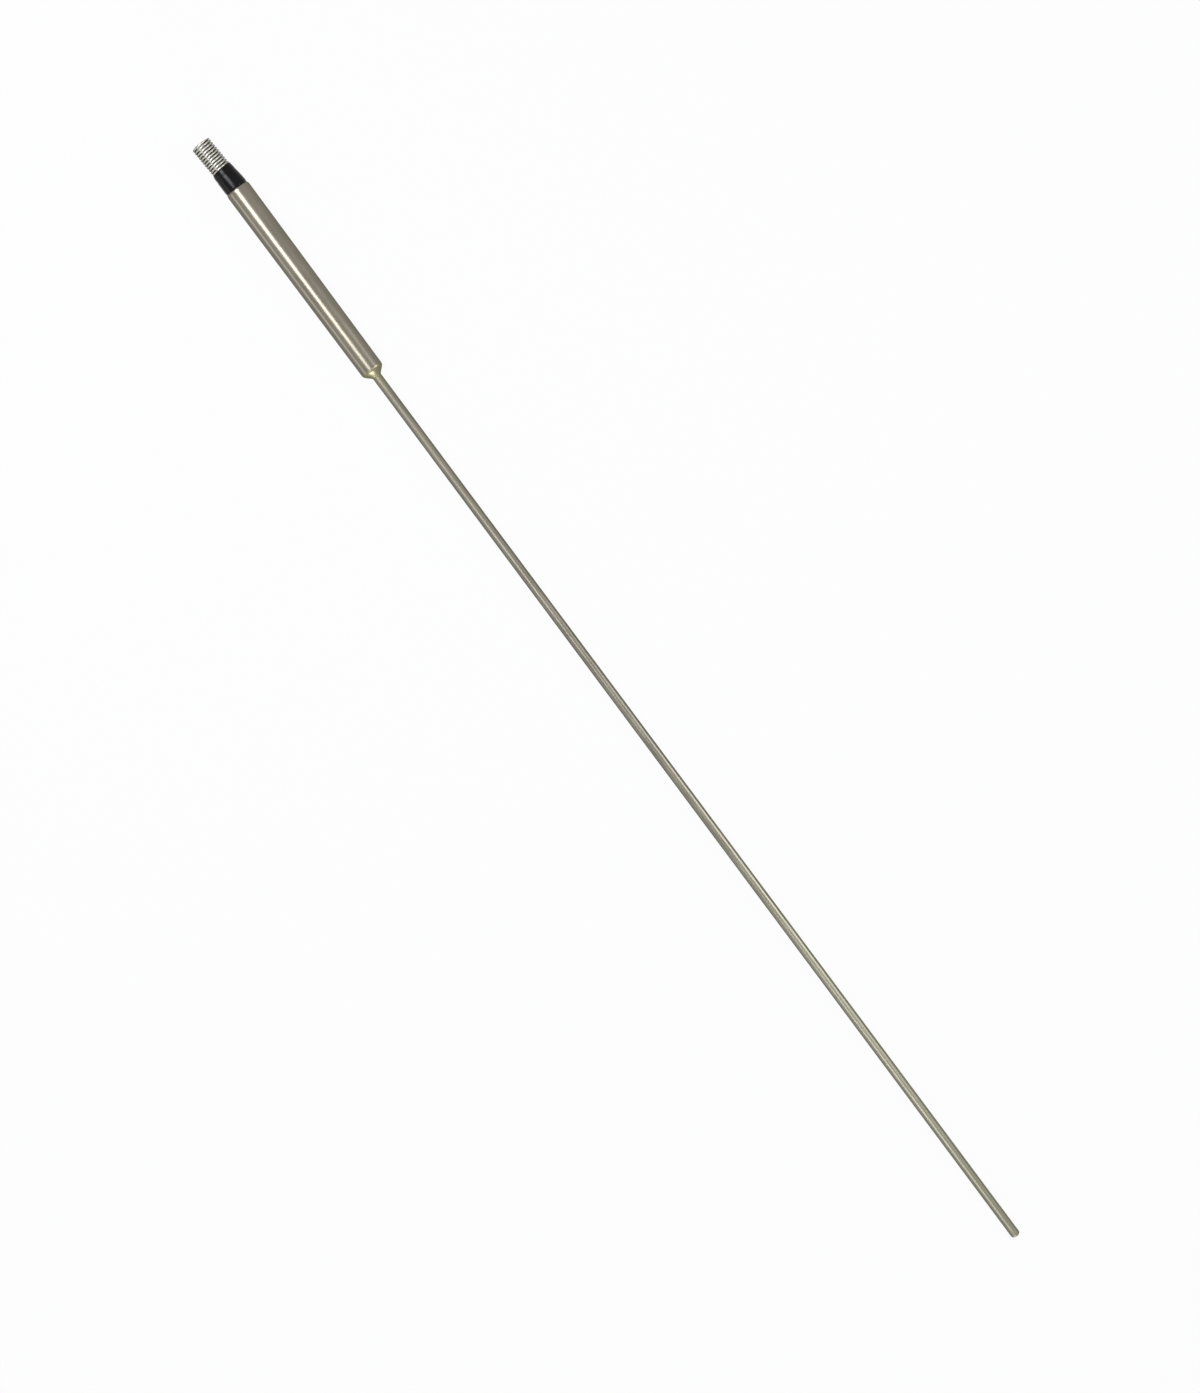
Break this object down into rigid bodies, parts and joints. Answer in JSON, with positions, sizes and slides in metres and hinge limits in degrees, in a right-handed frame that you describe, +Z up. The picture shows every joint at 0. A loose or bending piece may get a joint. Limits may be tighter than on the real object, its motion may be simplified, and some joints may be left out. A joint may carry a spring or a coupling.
{
  "type": "rtd probe",
  "caption": "Resistance thermometer probe: thin closed metal sheath, brazed into a wider transition sleeve with a black boot and a coil spring strain relief.",
  "frame": {"origin": "on the sheath's axis at the shoulder where the bare sheath leaves the braze ring", "axes": "+X along the sheath to the sensing tip; +Y across the probe, so that the boot and spring lean to -Y; +Z up off the surface it lies on"},
  "size_m": [0.452, 0.0088, 0.0086],
  "materials": {
    "stainless": "satin",
    "braze": "satin",
    "boot_rubber": "satin",
    "spring_steel": "polished",
    "ceramic": "matte",
    "mineral": "matte",
    "platinum": "polished",
    "nickel": "satin",
    "tinned_copper": "satin",
    "copper": "satin",
    "wire_insulation": "satin",
    "resin": "matte"
  },
  "bodies": {
    "root": {"sheath": "stainless", "transition_sleeve": "stainless", "braze_fillet": "braze", "boot": "boot_rubber", "strain_relief_spring": "spring_steel", "sensing_element": "ceramic", "tip_powder": "mineral", "joint_bar": "platinum", "mineral_core": "mineral", "potting": "resin", "element_lead_1": "platinum", "element_lead_2": "platinum", "conductor_1": "nickel", "splice_1": "tinned_copper", "lead_strand_1": "copper", "lead_insulation_1": "wire_insulation", "conductor_2": "nickel", "splice_2": "tinned_copper", "lead_strand_2": "copper", "lead_insulation_2": "wire_insulation", "conductor_3": "nickel", "splice_3": "tinned_copper", "lead_strand_3": "copper", "lead_insulation_3": "wire_insulation"}
  },
  "joints": []
}
